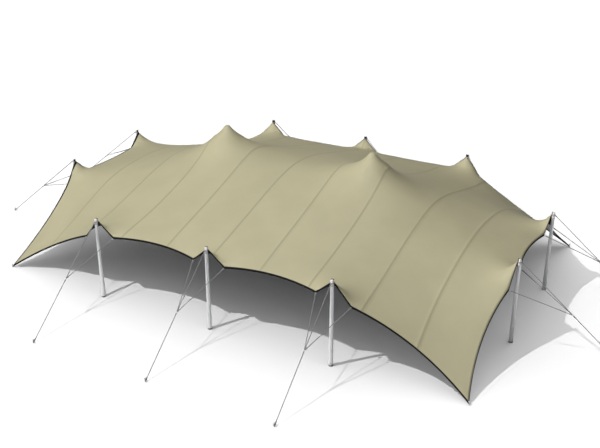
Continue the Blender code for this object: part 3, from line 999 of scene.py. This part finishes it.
class TENT_OT_guys(bpy.types.Operator):
    """Make the bridle guys: a leg from the pole top and from each shoulder, a ring, and a line to the peg"""
    bl_idname = "tent.guys"
    bl_label = "Guys"

    def execute(self, context):
        settings = context.scene.tent_guys
        for name, foot, outward, along in stations():
            self.make_guy(settings, name, foot, outward, along)
        return {"FINISHED"}

    def make_guy(self, settings, name, foot, outward, along):
        radius = settings.rope_radius
        peg = middle(f"peg_{name}")[0]
        pole_eye = foot + outward * (CAP_RADIUS + radius) + UP * POLE_ROPE_HEIGHT
        peg_eye = peg - outward * (PEG_RADIUS + radius) + UP * PEG_ROPE_HEIGHT
        ring = (foot + outward * CAP_RADIUS + UP * POLE_ROPE_HEIGHT).lerp(
            peg - outward * PEG_RADIUS + UP * PEG_ROPE_HEIGHT, RING_SHARE)
        ropes = bmesh.new()
        ropes.loops.layers.uv.new(ROPE_METRES)
        fittings = bmesh.new()
        add_ring(ropes, foot + UP * POLE_ROPE_HEIGHT, UP, CAP_RADIUS + radius, radius)
        add_ring(ropes, peg + UP * PEG_ROPE_HEIGHT, UP, PEG_RADIUS + radius, radius)
        ends = [pole_eye, peg_eye]
        for _, eye in shoulders(foot, outward, along):
            face = eye - UP * (HEM_BOTTOM / 2 + EYE_DROP)
            pull = (ring - face).normalized()
            centre = face + pull * EYE_REACH
            add_ring(fittings, centre, pull.cross(along).normalized(), EYE_RADIUS, RING_WIRE)
            ends.append(centre + pull * EYE_HOLD)
        near, far = SPLICE_STARTS
        swollen = SPLICE_SWELL * radius
        for end in ends:
            run = (end - ring).normalized()
            start = ring + run * settings.ring_radius
            add_rod(ropes, start, end, radius)
            add_rod(ropes, start + run * near, start + run * SPLICE_END, swollen)
            add_rod(ropes, end - run * SPLICE_END, end - run * far, swollen)
        line = (peg_eye - pole_eye).normalized()
        add_ring(fittings, ring, line.cross(along).normalized(), settings.ring_radius, RING_WIRE)
        close_up(ropes)
        close_up(fittings)
        material = finishes()
        add_piece(f"guy_rope_{name}", ropes, (material["rope"],), (f"guy_{name}",), crease=60)
        add_piece(f"guy_rings_{name}", fittings, (material["steel"],), crease=60)


class TENT_OT_pegs(bpy.types.Operator):
    """Make the ground pegs: a steel bar with a domed head"""
    bl_idname = "tent.pegs"
    bl_label = "Pegs"

    def execute(self, context):
        neck = PEG_HEIGHT - PEG_HEAD_HEIGHT
        head = PEG_HEAD_RADIUS
        profile = [
            (0.0, PEG_HEIGHT),
            (0.45 * head, PEG_HEIGHT - 0.0015),
            (0.78 * head, PEG_HEIGHT - 0.005),
            (0.97 * head, PEG_HEIGHT - 0.012),
            (head, PEG_HEIGHT - 0.017),
            (head, neck + 0.006),
            (0.94 * head, neck + 0.003),
            (PEG_RADIUS + 0.002, neck),
            (PEG_RADIUS, neck - 0.003),
            (PEG_RADIUS, 0.0),
            (0.0, 0.0),
        ]
        for node in [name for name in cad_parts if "peg_" in name]:
            bm = bmesh.new()
            turn(bm, profile, middle(node)[0], steps=24)
            close_up(bm)
            add_piece(f"{node}_steel", bm, (finishes()["steel"],), (node,), crease=50)
        return {"FINISHED"}


class TENT_OT_stage(bpy.types.Operator):
    """Set the floor, the lights and the camera"""
    bl_idname = "tent.stage"
    bl_label = "Stage"

    def execute(self, context):
        settings = context.scene.tent_stage
        floor = self.make_floor(settings)
        self.make_sky(context.scene, settings)
        self.make_lamp(settings)
        self.make_floor_light(settings, floor)
        self.make_camera(context.scene, settings)
        context.scene.view_settings.view_transform = "Standard"
        return {"FINISHED"}

    def make_floor(self, settings):
        """A plain pale floor that is a little paler far from the tent."""
        bm = bmesh.new()
        bmesh.ops.create_grid(bm, x_segments=1, y_segments=1, size=FLOOR_HALF)
        mesh = bpy.data.meshes.new("floor")
        bm.to_mesh(mesh)
        bm.free()
        finish = Finish("pale_floor", Roughness=0.9, Specular_IOR_Level=0.0)
        x, y, _ = finish.object_place().parts()
        far = (x * x + y * y).step(FLOOR_NEAR ** 2, FLOOR_FAR ** 2)
        pale = finish.mix(far, (settings.floor_shade,) * 3, (settings.far_shade,) * 3)
        mesh.materials.append(finish.paint(Base_Color=pale))
        floor = put("floor", mesh)
        return floor

    def make_sky(self, scene, settings):
        """Soft light from all round, on a backdrop that the camera sees as white."""
        scene.world = bpy.data.worlds.new("studio")
        scene.world.use_nodes = True
        tree = scene.world.node_tree
        light = tree.nodes["Background"]
        light.inputs["Strength"].default_value = settings.sky_light
        light.inputs["Color"].default_value = (0.97, 0.98, 1.0, 1.0)
        backdrop = tree.nodes.new("ShaderNodeBackground")
        backdrop.inputs["Color"].default_value = (1.0, 1.0, 1.0, 1.0)
        seen = tree.nodes.new("ShaderNodeLightPath")
        choice = tree.nodes.new("ShaderNodeMixShader")
        tree.links.new(seen.outputs["Is Camera Ray"], choice.inputs[0])
        tree.links.new(light.outputs[0], choice.inputs[1])
        tree.links.new(backdrop.outputs[0], choice.inputs[2])
        tree.links.new(choice.outputs[0], tree.nodes["World Output"].inputs["Surface"])

    def make_lamp(self, settings):
        """One lamp over the front, whose light doesn't fade with distance, so that the floor stays even."""
        lamp = bpy.data.lights.new("lamp", "POINT")
        lamp.energy = settings.lamp_light * 4 * math.pi ** 2
        lamp.shadow_soft_size = LAMP_RADIUS
        lamp.use_nodes = True
        tree = lamp.node_tree
        even = tree.nodes.new("ShaderNodeLightFalloff")
        even.inputs["Strength"].default_value = 1.0
        tree.links.new(even.outputs["Constant"], tree.nodes["Emission"].inputs["Strength"])
        put("lamp", lamp, LAMP_PLACE)

    def make_floor_light(self, settings, floor):
        """A wide soft light from straight above for the floor alone, which keeps its shadows pale."""
        soft = bpy.data.lights.new("floor_light", "SUN")
        soft.energy = settings.floor_light * math.pi
        soft.angle = FLOOR_LIGHT_SPREAD
        holder = put("floor_light", soft, FLOOR_LIGHT_PLACE)
        takers = bpy.data.collections.new("lit_floor")
        takers.objects.link(floor)
        holder.light_linking.receiver_collection = takers

    def make_camera(self, scene, settings):
        """A camera high to the front right, looking down along the tent."""
        camera = bpy.data.cameras.new("camera")
        camera.lens = settings.lens
        camera.sensor_width = 36.0
        camera.sensor_fit = "HORIZONTAL"
        camera.clip_end = 1000.0
        holder = put("camera", camera, CAMERA_PLACE)
        gaze = Vector((-math.sin(CAMERA_TURN) * math.cos(CAMERA_DROP),
                       math.cos(CAMERA_TURN) * math.cos(CAMERA_DROP),
                       -math.sin(CAMERA_DROP)))
        holder.rotation_euler = gaze.to_track_quat("-Z", "Y").to_euler()
        scene.camera = holder


class TENT_PT_tools(bpy.types.Panel):
    """Lists the tent's tools and their settings"""
    bl_idname = "TENT_PT_tools"
    bl_label = "Stretch Tent"
    bl_space_type = "VIEW_3D"
    bl_region_type = "UI"
    bl_category = "Tent"

    def draw(self, context):
        for operator in OPERATORS:
            self.layout.operator(operator.bl_idname)
        for name in SETTINGS:
            box = self.layout.box()
            group = getattr(context.scene, name)
            for key in group.bl_rna.properties.keys():
                if key not in ("rna_type", "name"):
                    box.prop(group, key)


OPERATORS = (
    TENT_OT_stage,
    TENT_OT_canopy,
    TENT_OT_hems,
    TENT_OT_side_poles,
    TENT_OT_king_poles,
    TENT_OT_guys,
    TENT_OT_pegs,
)
SETTINGS = {
    "tent_cloth": TentClothSettings,
    "tent_poles": TentPoleSettings,
    "tent_guys": TentGuySettings,
    "tent_stage": TentStageSettings,
}


def register():
    for kind in (*SETTINGS.values(), *OPERATORS, TENT_PT_tools):
        bpy.utils.register_class(kind)
    for name, kind in SETTINGS.items():
        setattr(bpy.types.Scene, name, PointerProperty(type=kind))


def unregister():
    for name in SETTINGS:
        delattr(bpy.types.Scene, name)
    for kind in (TENT_PT_tools, *reversed(OPERATORS), *reversed(SETTINGS.values())):
        bpy.utils.unregister_class(kind)


def main():
    """Make the whole tent."""
    register()
    for operator in OPERATORS:
        getattr(bpy.ops.tent, operator.bl_idname.removeprefix("tent."))()


if __name__ == "__main__":
    main()
